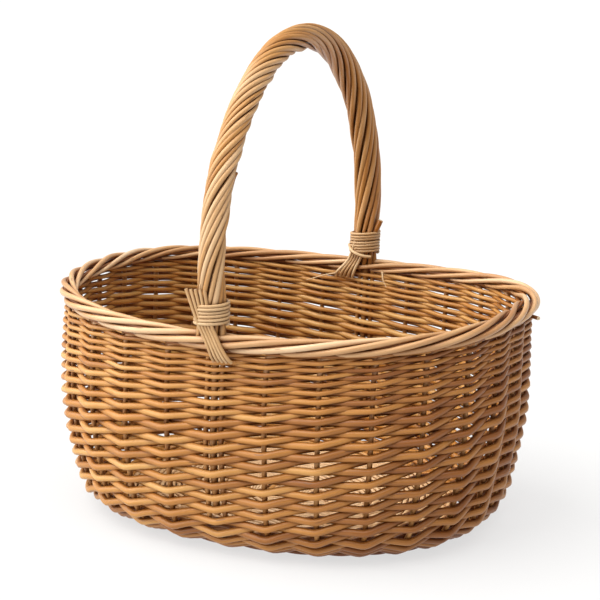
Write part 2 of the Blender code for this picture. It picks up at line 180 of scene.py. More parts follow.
# By share of the handle's length, from the front foot: how tightly the roping winds, how thick it
# is, and how pale its rods are painted, paler on the front leg and darker with painted shade down the back.
ROPE_TWIST = ((0.0, 0.40), (0.10, 0.90), (0.22, 1.55), (0.35, 1.30), (0.50, 0.75), (0.60, 0.60),
              (0.80, 0.65), (1.0, 0.35))
ROPE_SWELL = ((0.0, 1.0), (0.45, 1.0), (0.70, BACK_SWELL), (0.90, BACK_SWELL), (0.96, 1.0), (1.0, 1.0))
ROPE_PAINTED_SHADE = ((0.0, 0.38), (0.3, 0.15), (0.6, -0.30), (1.0, -0.45))
# By distance from the nearer foot: the radius of the roping's path along the rim, and across it.
ROPE_WIDTHS = ((0.0, 0.0112), (0.012, 0.0098), (0.030, 0.0094), (0.052, ROPE_PATH_RADIUS))
ROPE_DEPTHS = ((0.0, 0.0062), (0.012, 0.0080), (0.030, 0.0085), (0.050, ROPE_PATH_RADIUS))

BOW_START = 0.012             # the bow's arch starts this far above the roping's foot
BOW_STEPS = 90
BOW_SWELL = ((45, 1.0), (60, 1.25), (80, 1.25), (88, 1.0))   # by step along the arch
BOW_WALL_STEPS = 12
BOW_WALL_RADIUS = 0.0030
BOW_WALL_FOOT = 0.055
BOW_WALL_END = 0.008
LINER_STEPS = 40              # two thin rods flank the bow inside the weave
LINER_FOOT = 0.050
LINER_END = 0.006
LINER_APART = (0.0076, 0.0064)

BINDING_ROD_RADIUS = 0.0014
BINDING_TURNS = {"front": 6.4, "back": 7.4}
BINDING_STEPS = 28
BINDING_CLEAR = 2.04          # the turns' pitch, in radii of the rod
BINDING_SIDE = 0.0137         # half the binding's size along the rim
BINDING_ACROSS = 0.0122       # and across it
BINDING_TILT = 0.0009

# The tie rods' courses, in two parts, beside the leg and over the border. Each point gives how far
# it lies along the rim, its share of the fanning out and of the straying, how far outwards it lies,
# and its height above the foot of the binding. Over the border, outwards is in shares of the
# border's half width.
TIE_RODS = 5
TIE_ROD_RADIUS = 0.00145
TIE_CLEAR = 1.95              # their spacing, in radii
TIE_STEPS = 8
TIE_RAGGED = 0.0015           # how unevenly their tops end
TIE_STRAY = 0.0012            # how far their lower ends stray along the rim
TIE_FRONT_LEG = ((-0.0095, 0.45, 0.0, 0.0110, 0.0325), (-0.0055, 0.20, 0.0, 0.0112, 0.018),
                 (0.0, 0.0, 0.0, 0.0108, 0.002))
TIE_FRONT_BORDER = ((0.003, 0.0, 0.0, 0.93, -0.004), (0.008, 0.0, 0.0, 1.0, -0.013),
                    (0.0125, 0.2, 0.0, 0.96, -0.0215), (0.0145, 0.3, 1.0, 0.78, -0.0255))
TIE_BACK_LEG = ((0.0, 0.0, 0.0, -0.0105, 0.015), (-0.004, 0.0, 0.0, -0.0110, 0.002))
TIE_BACK_BORDER = ((-0.007, 0.0, 0.0, -0.9, -0.0055), (-0.011, 0.2, 0.0, -1.0, -0.012),
                   (-0.015, 0.4, 1.0, -0.95, -0.018), (-0.017, 0.4, 1.0, -0.7, -0.0225))

# The skein that crosses the back binding: how far it lies along the rim, outwards from the
# binding's inner face, and above the binding's foot.
SKEIN_COURSE = ((-BINDING_SIDE - 0.0006, 0.0105, 0.0090), (-0.0095, 0.0030, 0.0052),
                (-0.0030, -0.0002, 0.0026), (0.0040, 0.0002, 0.0008), (0.0105, 0.0040, -0.0002))
SKEIN_THICKNESS = 1.1
SKEIN_TONE = 0.7

# Cut ends of rods beside the handle's legs: which leg, 1 for the back one, three points measured
# from the foot of its binding, radius and tone.
LEG_ENDS = ((1, ((0.0105, -0.0035, 0.021), (0.0140, -0.0035, 0.029), (0.0165, -0.0030, 0.0355)),
             0.0027, -0.9),
            (-1, ((0.0068, 0.0175, 0.109), (0.0078, 0.0200, 0.117), (0.0094, 0.0220, 0.1225)),
             0.0014, -1.0))
# Thin tips inside the back wall: three points measured from the floor below the middle of that
# wall, and radius.
STRAY_TIPS = ((((-0.024, 0.0, 0.181), (-0.036, -0.003, 0.178), (-0.053, -0.004, 0.1715)), 0.0008),
              (((0.024, 0.001, 0.187), (0.026, -0.002, 0.180), (0.030, -0.003, 0.173)), 0.0009))
STRAY_TONE = 0.9
BORDER_ENDS = ((0.85, -0.0085), (12.2, -0.0070))   # u, height from the border's centre line
BORDER_END_REACHES = (-0.001, 0.0055, 0.0098)
BORDER_END_SLANT = 1.2
BORDER_END_LIFT = 0.05
BORDER_END_RADIUS = 0.0017
BORDER_END_TONE = -0.3
TRIM_STEPS = 6

SMOOTH_BELOW = math.radians(55)
CAP_SHRINK = 0.12


# ---- Willow materials -----------------------------------------------------------------------
STREAK_SCALE = (1500.0, 1500.0, 28.0)   # two numbers across a rod and one along it, per metre
STAIN_SCALE = (60.0, 60.0, 16.0)
KNOT_SCALE = (150.0, 150.0, 24.0)
TONE_SHARE = 0.38             # of the rod's tone, the stains and the streaks in the shade
STAIN_SHARE = 0.62
STREAK_SHARE = 0.34
SHADE_DROP = 0.17
SHADE_STOPS = (0.12, 0.48, 0.88)        # where the dark, the middle and the pale colour stand
KNOT_SIZE = 0.10
KNOT_STRENGTH = 0.55
KNOT_COLOUR = (0.16, 0.070, 0.026)
CUT_COLOURS = ((0.0, (0.62, 0.45, 0.27)), (0.7, (0.70, 0.55, 0.36)), (1.0, (0.30, 0.17, 0.08)))
PAINTED_SHADE_REACH = 0.010         # painted shade: the rods are painted darker where others lie this close
PAINTED_SHADE_STOPS = (0.20, 0.88)
PAINTED_SHADE_TINT = (0.48, 0.30, 0.18)
DEEP_PAINTED_SHADE_TINT = (0.30, 0.18, 0.10)
STREAK_ROUGHNESS = 0.30
BUMP_STRENGTH = 0.35
BUMP_DEPTH = 0.0003
SPECULAR = 0.38
COAT = 0.12
COAT_ROUGHNESS = 0.32


def link_math(tree, operation, first, second, clamp=False):
    """A Math node on two values or sockets, and its output socket."""
    node = tree.nodes.new("ShaderNodeMath")
    node.operation = operation
    node.use_clamp = clamp
    for socket, value in zip(node.inputs, (first, second)):
        if isinstance(value, (int, float)):
            socket.default_value = value
        else:
            tree.links.new(value, socket)
    return node.outputs[0]


def stretched(tree, vector, scale):
    node = tree.nodes.new("ShaderNodeVectorMath")
    node.operation = "MULTIPLY"
    node.inputs[1].default_value = scale
    tree.links.new(vector, node.inputs[0])
    return node.outputs[0]


def link_noise(tree, vector, scale, detail):
    node = tree.nodes.new("ShaderNodeTexNoise")
    node.inputs["Scale"].default_value = 1.0
    node.inputs["Detail"].default_value = detail
    tree.links.new(stretched(tree, vector, scale), node.inputs["Vector"])
    return node.outputs["Fac"]


def attribute(tree, name):
    node = tree.nodes.new("ShaderNodeAttribute")
    node.attribute_name = name
    return node


def ramp(tree, value, stops):
    stops = tuple(stops)
    node = tree.nodes.new("ShaderNodeValToRGB")
    elements = node.color_ramp.elements
    while len(elements) < len(stops):
        elements.new(0.5)
    for element, (position, colour) in zip(elements, stops):
        element.position = position
        element.color = (*colour, 1.0)
    tree.links.new(value, node.inputs["Fac"])
    return node.outputs["Color"]


def mixed(tree, factor, first, second, blend="MIX"):
    node = tree.nodes.new("ShaderNodeMix")
    node.data_type = "RGBA"
    node.blend_type = blend
    colours = [socket for socket in node.inputs if socket.type == "RGBA"]
    for socket, value in ((node.inputs["Factor"], factor), (colours[0], first), (colours[1], second)):
        if isinstance(value, (int, float)):
            socket.default_value = value
        elif isinstance(value, tuple):
            socket.default_value = (*value, 1.0)
        else:
            tree.links.new(value, socket)
    return [socket for socket in node.outputs if socket.type == "RGBA"][0]


def willow_shade(tree, streaks, stains):
    """From 0, dark, to 1, pale: the rod's tone, which on the weavers and the roping holds painted shade,
    with stains and fine streaks.
    """
    tone = attribute(tree, "tone").outputs["Fac"]
    shade = link_math(tree, "MULTIPLY", tone, TONE_SHARE)
    shade = link_math(tree, "ADD", shade, link_math(tree, "MULTIPLY", stains, STAIN_SHARE))
    shade = link_math(tree, "ADD", shade, link_math(tree, "MULTIPLY", streaks, STREAK_SHARE))
    return link_math(tree, "SUBTRACT", shade, SHADE_DROP, clamp=True)


def with_knots(tree, colour, grain):
    knots = tree.nodes.new("ShaderNodeTexVoronoi")
    knots.inputs["Scale"].default_value = 1.0
    tree.links.new(stretched(tree, grain, KNOT_SCALE), knots.inputs["Vector"])
    knot = link_math(tree, "LESS_THAN", knots.outputs["Distance"], KNOT_SIZE)
    return mixed(tree, link_math(tree, "MULTIPLY", knot, KNOT_STRENGTH), colour, KNOT_COLOUR)


def with_cut_ends(tree, colour):
    cut_end = attribute(tree, "cut_end").outputs["Fac"]
    is_end = link_math(tree, "GREATER_THAN", cut_end, 0.001)
    return mixed(tree, is_end, colour, ramp(tree, cut_end, CUT_COLOURS))


def with_painted_crevice_shade(tree, colour, tint):
    # Painted shade: an ambient occlusion node darkens the colour where other rods lie within reach.
    painted_shade = tree.nodes.new("ShaderNodeAmbientOcclusion")
    painted_shade.samples = 5
    painted_shade.inputs["Distance"].default_value = PAINTED_SHADE_REACH
    shaded_colour = ramp(tree, painted_shade.outputs["AO"], zip(PAINTED_SHADE_STOPS, (tint, (1.0, 1.0, 1.0))))
    return mixed(tree, 1.0, colour, shaded_colour, "MULTIPLY")


def willow(name, dark, middle, pale, roughness=0.42, painted_shade_tint=PAINTED_SHADE_TINT):
    """Buff willow: each rod has its tone, with fine grain along it, stains, knots and cut ends, and painted
    shade where other rods lie close.
    """
    material = bpy.data.materials.new(name)
    material.use_nodes = True
    tree = material.node_tree
    shader = tree.nodes["Principled BSDF"]
    grain = attribute(tree, "grain").outputs["Vector"]
    streaks = link_noise(tree, grain, STREAK_SCALE, 4.0)
    stains = link_noise(tree, grain, STAIN_SCALE, 2.0)
    shade = willow_shade(tree, streaks, stains)
    colour = ramp(tree, shade, zip(SHADE_STOPS, (dark, middle, pale)))
    colour = with_cut_ends(tree, with_knots(tree, colour, grain))
    tree.links.new(with_painted_crevice_shade(tree, colour, painted_shade_tint), shader.inputs["Base Color"])
    rough = link_math(tree, "MULTIPLY", streaks, STREAK_ROUGHNESS)
    rough = link_math(tree, "ADD", rough, roughness - STREAK_ROUGHNESS / 2)
    tree.links.new(rough, shader.inputs["Roughness"])
    bump = tree.nodes.new("ShaderNodeBump")
    bump.inputs["Strength"].default_value = BUMP_STRENGTH
    bump.inputs["Distance"].default_value = BUMP_DEPTH
    tree.links.new(streaks, bump.inputs["Height"])
    tree.links.new(bump.outputs["Normal"], shader.inputs["Normal"])
    shader.inputs["Specular IOR Level"].default_value = SPECULAR
    shader.inputs["Coat Weight"].default_value = COAT
    shader.inputs["Coat Roughness"].default_value = COAT_ROUGHNESS
    return material


WEAVE = willow("willow weave", (0.240, 0.078, 0.010), (0.445, 0.188, 0.035), (0.620, 0.352, 0.112))
STAKE = willow("willow stake", (0.300, 0.120, 0.028), (0.520, 0.260, 0.075), (0.630, 0.390, 0.170))
BORDER = willow("willow border", (0.335, 0.143, 0.046), (0.570, 0.332, 0.153), (0.745, 0.575, 0.390), 0.34)
# The handle takes a deeper painted shade in the grooves of its roping.
HANDLE = willow("willow handle", (0.325, 0.118, 0.017), (0.470, 0.228, 0.064), (0.600, 0.405, 0.225), 0.38,
                DEEP_PAINTED_SHADE_TINT)
# The base's willow is a paler copy of the weave's: painted light standing in for light falling on the
# inside of the base.
PAINTED_LIGHT_BASE = willow("willow base painted light", (0.380, 0.190, 0.075), (0.600, 0.380, 0.190), (0.750, 0.560, 0.350))
BINDING = willow("willow binding", (0.290, 0.135, 0.050), (0.465, 0.275, 0.120), (0.640, 0.465, 0.270),
                 0.38)


# ---- Rods as meshes -------------------------------------------------------------------------


def read(table, value, **options):
    """Looks a value up in a table of pairs, in a straight line between them."""
    return np.interp(value, *zip(*table), **options)


def unit(vectors):
    return vectors / np.linalg.norm(vectors, axis=-1, keepdims=True)


def distances(line):
    """How far along the line each of its points lies."""
    return np.concatenate([[0.0], np.cumsum(np.linalg.norm(np.diff(line, axis=0), axis=1))])


def smooth_line(points, steps):
    """A Catmull-Rom curve through the points, with this many steps between neighbours."""
    points = np.asarray(points, float)
    padded = np.vstack([2 * points[0] - points[1], points, 2 * points[-1] - points[-2]])
    part = np.linspace(0.0, 1.0, steps, endpoint=False)[:, None]
    pieces = []
    for before, start, end, after in zip(padded, padded[1:], padded[2:], padded[3:]):
        pieces.append(0.5 * (2 * start + (end - before) * part
                             + (2 * before - 5 * start + 4 * end - after) * part**2
                             + (3 * start - before - 3 * end + after) * part**3))
    return np.vstack([*pieces, points[-1:]])


def rod_rings(line, radii, sides):
    """Rings of points round a line, turned as little as possible from each to the next."""
    along = unit(np.gradient(line, axis=0))
    across = np.zeros_like(line)
    first = np.cross(along[0], (0.0, 0.0, 1.0))
    if np.linalg.norm(first) < 0.2:
        first = np.cross(along[0], (1.0, 0.0, 0.0))
    across[0] = unit(first)
    for i in range(1, len(line)):
        carried = across[i - 1] - along[i] * np.dot(across[i - 1], along[i])
        across[i] = carried / np.linalg.norm(carried)
    upward = np.cross(along, across)
    angle = 2.0 * np.pi * np.arange(sides) / sides
    ring = across[:, None] * np.cos(angle)[:, None] + upward[:, None] * np.sin(angle)[:, None]
    return line[:, None] + ring * radii[:, None, None], angle


class Rods:
    """Gathers rods for one piece: their points, faces, and the attributes of the willow shader."""

    def __init__(self, sides=12):
        self.sides = sides
        self.points, self.faces = [], []
        self.grain, self.tone, self.cut_end = [], [], []
        self.count = 0

    def add(self, line, radius, tone=None):
        """One rod; its radius and tone are one number or one for each point."""
        line = np.asarray(line, float)
        radii = np.broadcast_to(np.asarray(radius, float), (len(line),))
        tone = np.broadcast_to(RANDOM.uniform(0.0, 1.0) if tone is None else tone, (len(line),))
        rings, angle = rod_rings(line, radii, self.sides)
        ends = np.stack([line[0], line[-1]])
        self.points += [rings.reshape(-1, 3), self.cap_rings(rings).reshape(-1, 3), ends]
        self.add_faces(len(line))
        self.add_grain(line, radii, angle)
        self.add_tones(tone)
        self.count += (len(line) + 2) * self.sides + 2

    def add_faces(self, rows):
        """The newest rod's sides, then its two cut ends."""
        sides, base = self.sides, self.count
        top = base + (rows - 1) * sides
        first_cap = top + sides
        last_cap = first_cap + sides
        centre = last_cap + sides
        for row in range(rows - 1):
            low = base + row * sides
            for i in range(sides):
                j = (i + 1) % sides
                self.faces.append((low + i, low + j, low + sides + j, low + sides + i))
        for i in range(sides):
            j = (i + 1) % sides
            self.faces.append((base + j, base + i, first_cap + i, first_cap + j))
            self.faces.append((first_cap + j, first_cap + i, centre))
            self.faces.append((top + i, top + j, last_cap + j, last_cap + i))
            self.faces.append((last_cap + i, last_cap + j, centre + 1))

    def add_grain(self, line, radii, angle):
        """Where each point lies in the rod's wood: two coordinates across it and one along."""
        offset = RANDOM.uniform(-1.0, 1.0, 3)
        travelled = distances(line)
        grain = np.zeros((len(line), self.sides, 3))
        grain[..., 0] = radii[:, None] * np.cos(angle)
        grain[..., 1] = radii[:, None] * np.sin(angle)
        grain[..., 2] = travelled[:, None]
        middles = np.array([[0.0, 0.0, 0.0], [0.0, 0.0, travelled[-1]]])
        for part in (grain, grain[[0, -1]], middles):
            self.grain.append(part.reshape(-1, 3) + offset)

    def add_tones(self, tone):
        """The tone at each point, and how near the middle of a cut end the point lies."""
        tips = tone[[0, -1]]
        self.tone.append(np.concatenate([tone.repeat(self.sides), tips.repeat(self.sides), tips]))
        self.cut_end.append(np.repeat((0.0, 0.5, 1.0), (len(tone) * self.sides, 2 * self.sides, 2)))

    @staticmethod
    def cap_rings(rings):
        """A slightly smaller ring in each end's plane, where the cut face starts."""
        caps = rings[[0, -1]]
        return caps.mean(axis=1, keepdims=True) * CAP_SHRINK + caps * (1.0 - CAP_SHRINK)

    def finish(self, name, material, slot, replaced):
        """Makes the piece, gives it its place in the frame, and returns it."""
        mesh = bpy.data.meshes.new(name)
        mesh.from_pydata(np.vstack(self.points).tolist(), [], self.faces)
        grain = mesh.attributes.new("grain", "FLOAT_VECTOR", "POINT")
        grain.data.foreach_set("vector", np.vstack(self.grain).astype(np.float32).ravel())
        for label, values in (("tone", self.tone), ("cut_end", self.cut_end)):
            stored = mesh.attributes.new(label, "FLOAT", "POINT")
            stored.data.foreach_set("value", np.concatenate(values).astype(np.float32))
        mesh.materials.append(material)
        mesh.shade_smooth()
        mesh.set_sharp_from_angle(angle=SMOOTH_BELOW)
        piece = bpy.data.objects.new(name, mesh)
        bpy.context.scene.collection.objects.link(piece)
        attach(piece, "root")
        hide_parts(*replaced)
        return piece


def wobble(count, size, every):
    """Smooth random numbers of about this size, a new one every so many points."""
    knots = RANDOM.normal(0.0, size, count // every + 3)
    return np.interp(np.arange(count) / every, np.arange(len(knots)), knots)


# ---- The oval and the wall's surface --------------------------------------------------------


def outline_table(steps=2880):
    """The border's centre line: x, y and the outward normal at even places along it."""
    angle = np.linspace(0.0, 2.0 * math.pi, steps + 1)
    cosine, sine = np.cos(angle), np.sin(angle)
    power = 2.0 / OUTLINE_POWER
    x = (RIM_LENGTH / 2 - BORDER_RADIUS) * np.sign(cosine) * np.abs(cosine) ** power
    y = (RIM_WIDTH / 2 - BORDER_RADIUS) * np.sign(sine) * np.abs(sine) ** power
    travelled = np.concatenate([[0.0], np.cumsum(np.hypot(np.diff(x), np.diff(y)))])
    even = np.linspace(0.0, travelled[-1], steps + 1)
    x, y = np.interp(even, travelled, x)[:-1], np.interp(even, travelled, y)[:-1]
    along_x = np.roll(x, -1) - np.roll(x, 1)
    along_y = np.roll(y, -1) - np.roll(y, 1)
    length = np.hypot(along_x, along_y)
    return np.stack([x, y, along_y / length, -along_x / length]), travelled[-1]


OUTLINE, RIM_ROUND = outline_table()
STAKE_SPACING = RIM_ROUND / STAKES


def around(u):
    """Point on the border's centre line and the outward normal, as rows of x, y and 0."""
    steps = OUTLINE.shape[1]
    place = np.atleast_1d(u) / STAKES * steps
    x, y, normal_x, normal_y = (np.interp(place, np.arange(steps), row, period=steps)
                                for row in OUTLINE)
    level = np.zeros_like(x)
    return np.stack([x, y, level], 1), np.stack([normal_x, normal_y, level], 1)


def lift(u):
    return RIM_SADDLE * np.cos(4.0 * np.pi * np.atleast_1d(u) / STAKES)


def rounding(u, height):
    """Extra inset at the oval's four shoulders, fading out up the wall."""
    shoulder = 0.5 - 0.5 * np.cos(8.0 * np.pi * np.atleast_1d(u) / STAKES)
    return BASE_ROUNDING * shoulder * np.clip(1.0 - height / BASE_ROUNDING_HEIGHT, 0.0, 1.0)


def profile_table(samples=400):
    """The wall's middle surface: q, inset from the border's outer edge, height, and its normal."""
    turn = np.linspace(0.0, math.pi / 2, samples)
    corner_height = CORNER_HEIGHT * (1.0 - np.cos(turn))
    height = np.concatenate([corner_height, np.linspace(CORNER_HEIGHT, WALL_TOP, samples)[1:]])
    lean = FLARE * np.clip(1.0 - height / FLARE_HEIGHT, 0.0, None) ** FLARE_POWER
    reach = np.zeros_like(height)
    reach[:samples] = CORNER_REACH * (1.0 - np.sin(turn))
    inset = WALL_INSET + lean + reach
    slope = unit(np.stack([np.gradient(inset), np.gradient(height)], 1))
    outward, upward = slope[:, 1], slope[:, 0]
    inset = inset + MID_DEPTH * outward
    height = height - MID_DEPTH * upward
    q = np.concatenate([[0.0], np.cumsum(np.hypot(np.diff(inset), np.diff(height)))])
    return np.stack([q, inset, height, outward, upward])


PROFILE = profile_table()
WALL_Q = PROFILE[0, -1]


def on_wall(u, q, depth=0.0):
    """Points at u round the rim and q up the wall, depth out of its middle surface."""
    u = np.atleast_1d(np.asarray(u, float))
    q = np.broadcast_to(q, u.shape)
    inset, height, outward, upward = (np.interp(q, PROFILE[0], row) for row in PROFILE[1:])
    inset = inset - np.minimum(q, 0.0)
    height = height + np.maximum(q - WALL_Q, 0.0)
    depth = np.broadcast_to(depth, u.shape)
    centre, normal = around(u)
    inset = inset + rounding(u, height)
    points = centre + normal * (BORDER_RADIUS - inset + depth * outward)[:, None]
    points[:, 0] += WALL_SWAY * np.sin(np.pi * np.clip(height / RIM_HEIGHT, 0.0, 1.0))
    points[:, 2] = (height + depth * upward) * (1.0 + lift(u) / RIM_HEIGHT)
    return points


# ---- Side weave -----------------------------------------------------------------------------


def row_pitch(q):
    return read(ROW_PITCHES, q)


def row_table(steps=20):
    """q of each row, from the lowest, in parts of a row, worked out downwards from the top row."""
    q = [TOP_ROW_Q]
    for _ in range(RAND_ROWS * steps):
        q.append(q[-1] - row_pitch(q[-1]) / steps)
    return np.arange(RAND_ROWS * steps + 1) / steps, np.array(q[::-1])


ROWS, ROW_Q = row_table()


def weave_wave(phase):
    """In front at 0 and behind at pi, bent over the stakes and straighter between them."""
    return np.arcsin(RAND_SHARPNESS * np.cos(phase)) / math.asin(RAND_SHARPNESS)


def painted_weave_shade(u, q):
    """Painted shade: the willow is painted darker at one end of the basket and in its lowest rows."""
    return read(PAINTED_SHADE_AROUND, u, period=STAKES) + read(PAINTED_SHADE_UP, q)


def make_randing():
    """French randing: one rod starts at each stake, all climbing together, in front and behind."""
    travel = np.arange(-RAND_STEPS, 2 * RAND_ROWS * RAND_STEPS + 1) / RAND_STEPS
    level = travel / 2
    climb = np.interp(level, ROWS, ROW_Q) + np.minimum(level, 0.0) * row_pitch(0.0)
    wave = weave_wave(np.pi * travel)
    dip = np.interp(climb, (RAND_DIP_FROM, WALL_Q), RAND_DIPS)
    dip = dip * np.clip(wave, 0.0, None) ** RAND_DIP_POWER
    count = len(travel)
    for start in range(STAKES):
        radius = read(RAND_FILLS, climb) * row_pitch(climb) * RANDOM.uniform(0.92, 1.07)
        radius = radius * (1 + wobble(count, size=0.035, every=9))
        depth = (STAKE_RADIUS + radius - RAND_PRESS) * wave
        unrest = wobble(count, size=0.00045, every=7) + wobble(count, size=0.0004, every=31)
        q = climb - dip + unrest * read(RAND_UNREST, level)
        # A random tone for the rod, with painted shade by its place on the wall.
        tone = RANDOM.uniform(0.0, 1.0) + painted_weave_shade(start + travel, q)
        rods = Rods(RAND_SIDES)
        rods.add(on_wall(start + travel, q, depth), radius, tone)
        rods.finish(f"weaver_{start + 1:02d}", WEAVE, "willow_weave",
                    ("side_weave_lower", "side_weave_middle", "side_weave_upper"))


def make_wale():
    """Waling where the stakes turn up: three rods twine round the stakes."""
    rods = Rods(RAND_SIDES)
    for i in range(WALE_RODS):
        travel = np.arange(WALE_ROUNDS * STAKES * RAND_STEPS + 1) / RAND_STEPS
        phase = 2.0 * np.pi * travel / WALE_RODS
        climb = np.linspace(*WALE_Q, len(travel))
        q = climb - WALE_RISE * np.sin(phase) + wobble(len(travel), size=0.0002, every=9)
        depth = -WALE_DEPTH * np.cos(phase) + WALE_OUTWARD
        radius = WALE_ROD_RADIUS * RANDOM.uniform(0.95, 1.05)
        # Painted shade by place on the wall, as on the weavers.
        rods.add(on_wall(i + travel, q, depth), radius, 0.5 + painted_weave_shade(i + travel, q))
    rods.finish("upsett_wale_rods", WEAVE, "willow_weave", ("upsett_wale",))


def make_stakes():
    places = [i for i in range(STAKES) if i not in HANDLE_STAKES]
    for number, u in enumerate(places):
        q = np.linspace(-STAKE_IN_BASE, WALL_Q - 0.001, STAKE_STEPS)
        sway = wobble(len(q), size=0.010, every=12)
        depth = wobble(len(q), size=0.0002, every=12)
        rods = Rods()
        rods.add(on_wall(u + sway, q, depth), STAKE_RADIUS * np.linspace(1.08, 0.98, len(q)))
        rods.finish(f"upright_{number + 1:02d}", STAKE, "willow_stakes", (f"stake_{number + 1:02d}",))


# ---- Border ---------------------------------------------------------------------------------


def near(u, first, reach):
    """1 at two facing places of the rim, the first and the one half a round on, fading over reach."""
    off = np.abs((np.atleast_1d(u) - first + STAKES / 4) % (STAKES / 2) - STAKES / 4)
    return np.exp(-((off / reach) ** 2))


def border_point(u, turn, radius):
    """A point round the border's centre line, turn from 0 outside over the top to pi inside."""
    centre, normal = around(u)
    opened = END_SPREAD * near(u, 0, END_SPREAD_STAKES)
    parted = BORDER_SPREAD * near(u, HANDLE_STAKES[0], BORDER_SPREAD_STAKES) * np.abs(np.cos(turn))
    points = centre + normal * ((radius + opened + parted) * np.cos(turn) - opened)[:, None]
    points[:, 2] = RIM_HEIGHT - BORDER_RADIUS + lift(u) + radius * np.sin(turn)
    return points


def bend(start, leaving, end, arriving, count):
    """A curve from start to end that leaves and arrives along two vectors, without its last point."""
    part = np.linspace(0.0, 1.0, count, endpoint=False)[:, None]
    first, second = start + leaving, end - arriving
    return ((1 - part) ** 3 * start + 3 * (1 - part) ** 2 * part * first
            + 3 * (1 - part) * part**2 * second + part**3 * end)


def make_border_core():
    """The rod ends that fill the rolled border, out of sight."""
    rods = Rods(RAND_SIDES)
    u = np.linspace(0.05, STAKES - 0.05, BORDER_CORE_STEPS)
    for degrees, radius in BORDER_CORE:
        turn = np.full(len(u), math.radians(degrees))
        points = border_point(u, turn, radius)
        rods.add(points, BORDER_CORE_RADIUS, -0.4)
    rods.finish("border_core", WEAVE, "willow_border", ("border_rod_inner_lower",))


def make_border():
    """Each stake's top turns down along the rim, over the ones before it, and ends inside."""
    nodes = [f"border_rod_{side}_{level}" for side in ("outer", "inner") for level in ("upper", "lower")]
    travel = np.linspace(BORDER_START, BORDER_SPACINGS, BORDER_STEPS)
    share = np.linspace(0.0, 1.0, BORDER_STEPS)
    tucked = np.clip((share - BORDER_TUCK_FROM) / (1.0 - BORDER_TUCK_FROM), 0.0, 1.0) ** 2
    for start in range(STAKES):
        turn = BORDER_FIRST_TURN + (BORDER_LAST_TURN - BORDER_FIRST_TURN) * share
        turn = turn + wobble(BORDER_STEPS, size=0.05, every=12) * np.minimum(share * 6, 1)
        radius = BORDER_PATH_RADIUS + wobble(BORDER_STEPS, size=0.00018, every=10) - BORDER_TUCK * tucked
        run = border_point(start + travel, turn, radius)
        rise = on_wall([start, start], WALL_Q - np.array(BORDER_RISE))
        leaving = np.array([0.0, 0.0, BORDER_BEND[0]])
        arriving = unit(run[1] - run[0]) * BORDER_BEND[1]
        line = np.vstack([rise[:1], bend(rise[1], leaving, run[0], arriving, BORDER_BEND_STEPS), run])
        count = len(line)
        taper = np.interp(np.arange(count), (count * BORDER_TAPER_FROM, count - 1), (1.0, BORDER_TIP))
        rods = Rods()
        rods.add(line, BORDER_ROD_RADIUS * RANDOM.uniform(0.94, 1.05) * taper)
        rods.finish(f"border_rod_{start + 1:02d}", BORDER, "willow_border", nodes)


# ---- Base -----------------------------------------------------------------------------------


def base_edge(place, inset):
    """A point on the base, inset from its edge, place running from 0 to 1."""
    u = np.asarray(place) * STAKES
    centre, normal = around(u)
    points = centre + normal * (BORDER_RADIUS - BASE_INSET - inset - rounding(u, 0.0))[:, None]
    points[:, 2] = BASE_MIDDLE
    return points


def make_base_sticks():
    for i in range(LONG_STICKS):
        row = i - (LONG_STICKS - 1) // 2
        end = base_edge(row / SPOKES, STICK_END_INSET if row else STAKE_IN_BASE)[0]
        inner = np.array([SLIT_REACH, LONG_STICK_SPACING * row, BASE_MIDDLE])
        mirror = np.array([-1.0, 1.0, 1.0])
        rods = Rods()
        rods.add(smooth_line([end * mirror, inner * mirror, inner, end], 14), LONG_STICK_RADIUS)
        rods.finish(f"base_long_{i + 1}", STAKE, "willow_stakes", (f"base_stick_long_{i + 1}",))
    for i in range(SHORT_STICKS):
        row = i - (SHORT_STICKS - 1) / 2
        place = 0.25 - row / SPOKES
        middle = np.array([SHORT_STICK_SPACING * row, 0.0, BASE_MIDDLE])
        ends = base_edge([place, -place], STICK_END_INSET)
        rods = Rods()
        rods.add(smooth_line([ends[0], middle, ends[1]], 20), SHORT_STICK_RADIUS)
        rods.finish(f"base_short_{i + 1}", STAKE, "willow_stakes", (f"base_stick_short_{i + 1}",))


def slath_point(spoke):
    """Where a spoke leaves the crossed sticks in the middle of the base."""
    quarter = SPOKES // 4
    knots = np.arange(-quarter, 3 * quarter + 1)
    x, y = [], []
    for knot in knots % SPOKES:
        row = (quarter - knot) if knot <= 2 * quarter else (knot - 3 * quarter)
        across = min(max(row, -2), 2)
        x.append(SHORT_STICK_SPACING * across + (SLATH_REACH * np.sign(row) if abs(row) > 2 else 0.0))
        y.append(0.0 if knot % (2 * quarter) == 0 else SLATH_SIDE * (1 if knot < 2 * quarter else -1))
    wrapped = (spoke + quarter) % SPOKES - quarter
    return np.stack([np.interp(wrapped, knots, x), np.interp(wrapped, knots, y)], 1)


def add_lapping(rods):
    """A thin rod laps the long sticks in each gap between the short ones."""
    turn = np.linspace(0.0, 2.0 * math.pi * LAP_TURNS, LAP_TURNS * LAP_STEPS + 1)
    along = LAP_ROD_RADIUS * LAP_CLEAR * (turn / (2.0 * math.pi) - LAP_TURNS / 2)
    y = LAP_SIDE * np.cos(turn)
    z = BASE_MIDDLE + LAP_DEPTH * np.sin(turn)
    for gap in np.arange(SHORT_STICKS - 1) - (SHORT_STICKS - 2) / 2:
        rods.add(np.column_stack([SHORT_STICK_SPACING * gap + along, y, z]), LAP_ROD_RADIUS)


